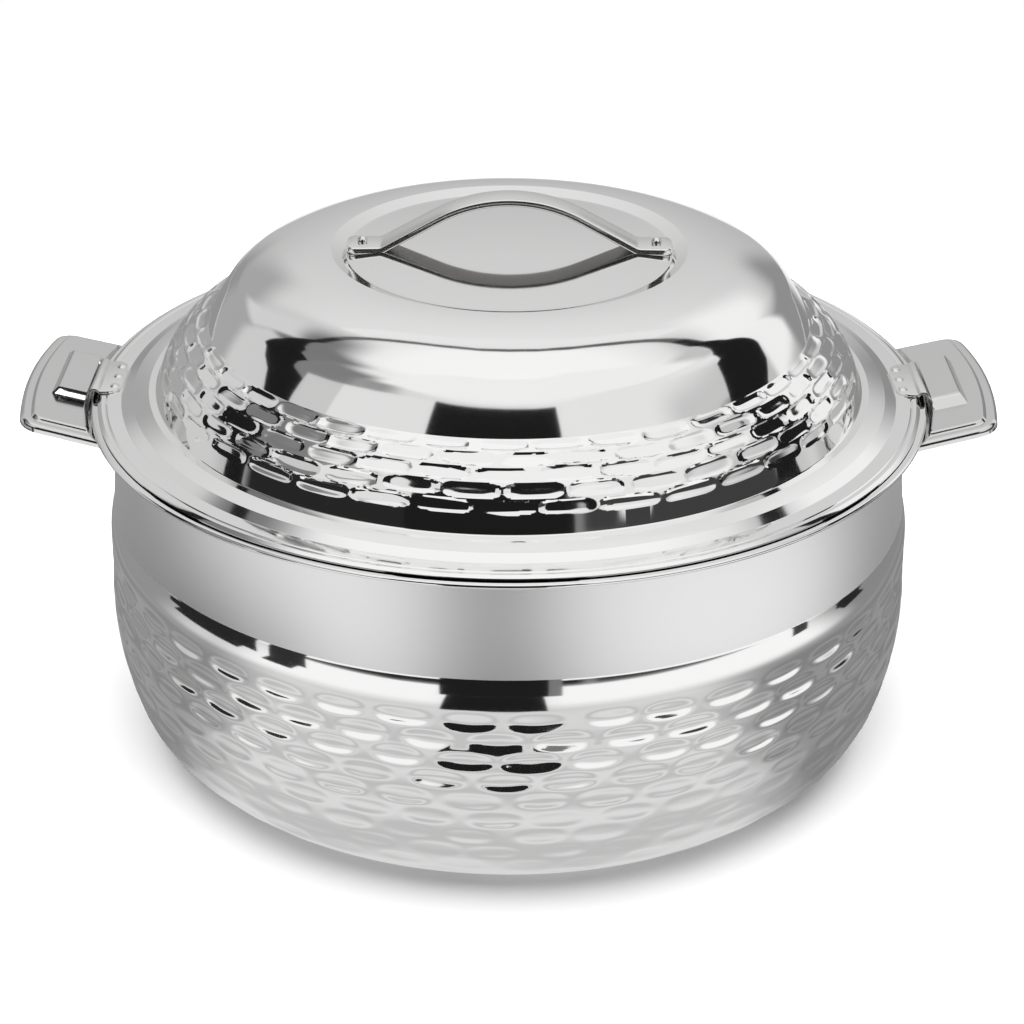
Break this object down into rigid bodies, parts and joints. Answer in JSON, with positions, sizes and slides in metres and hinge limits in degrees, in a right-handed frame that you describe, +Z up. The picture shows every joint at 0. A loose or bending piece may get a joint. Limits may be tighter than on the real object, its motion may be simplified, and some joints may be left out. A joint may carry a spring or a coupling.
{
  "type": "insulated serving casserole",
  "caption": "Double-walled steel casserole with a hammered body, twist-lock domed lid, strap handle on the lid and two flat side handles with latch hoods.",
  "frame": {"origin": "middle of the base, on the table", "axes": "+Z up along the pot's axis, +X through the side handles and along the strap handle"},
  "size_m": [0.3832, 0.3298, 0.2203],
  "materials": {
    "polished_steel": "mirror-polished stainless steel sheet",
    "strap_steel": "polished stainless steel strap",
    "rivet_steel": "satin stainless steel",
    "foam": "rigid polyurethane foam",
    "silicone": "soft black silicone"
  },
  "bodies": {
    "pot": {"outer_shell": "polished_steel", "inner_pot": "polished_steel", "pot_insulation": "foam", "base_plug": "silicone", "handle_left": "polished_steel", "handle_right": "polished_steel", "handle_rivets_left": "rivet_steel", "handle_rivets_right": "rivet_steel"},
    "seal": {"lid_seal": "silicone"},
    "lid": {"lid_outer": "polished_steel", "lid_inner": "polished_steel", "lid_insulation": "foam", "lid_plug": "silicone", "lid_handle": "strap_steel", "lid_handle_rivets": "rivet_steel", "lid_handle_washers": "rivet_steel", "latch_left": "polished_steel", "latch_right": "polished_steel", "latch_rivets_left": "rivet_steel", "latch_rivets_right": "rivet_steel"}
  },
  "joints": [
    {"name": "lid_lift", "type": "slide", "parent": "pot", "child": "seal", "axis": [0, 0, 1], "range_m": [0, 0.12]},
    {"name": "lid_twist", "type": "hinge", "parent": "seal", "child": "lid", "pos_m": [0, 0, 0.1415], "axis": [0, 0, 1], "range_deg": [0, 14]}
  ]
}
